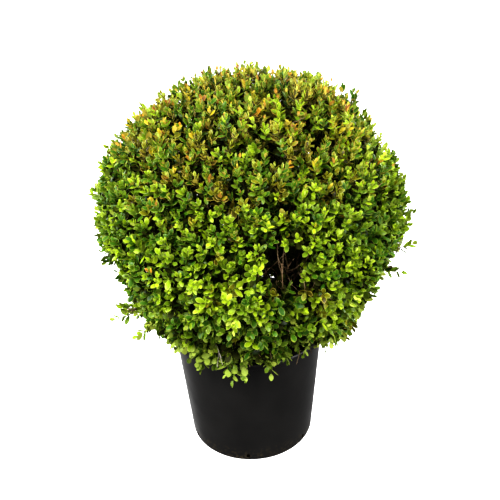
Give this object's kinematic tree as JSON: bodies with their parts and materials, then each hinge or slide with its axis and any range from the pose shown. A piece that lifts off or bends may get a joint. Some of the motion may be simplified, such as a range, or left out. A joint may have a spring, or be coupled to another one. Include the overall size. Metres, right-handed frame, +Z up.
{
  "type": "box topiary ball in a nursery pot",
  "caption": "Clipped evergreen shrub ball of small dense leaves on a short forked stem, in a round tapered black plastic nursery pot.",
  "frame": {"origin": "centre of the flat underside of the pot", "axes": "+Z up along the pot's axis, +X to the right and -Y towards the viewer, where the crown's thin patch shows"},
  "size_m": [0.7077, 0.6901, 0.9359],
  "materials": {
    "pot_plastic": "satin",
    "compost": "matte",
    "bark": "matte",
    "leaf": "satin"
  },
  "bodies": {
    "root": {"pot": "pot_plastic", "pot_rim": "pot_plastic", "compost": "compost", "stem": "bark", "bough_leader": "bark", "bough_1": "bark", "bough_2": "bark", "bough_3": "bark", "bough_4": "bark", "bough_5": "bark", "bough_6": "bark", "foliage_ball": "leaf"}
  },
  "joints": []
}
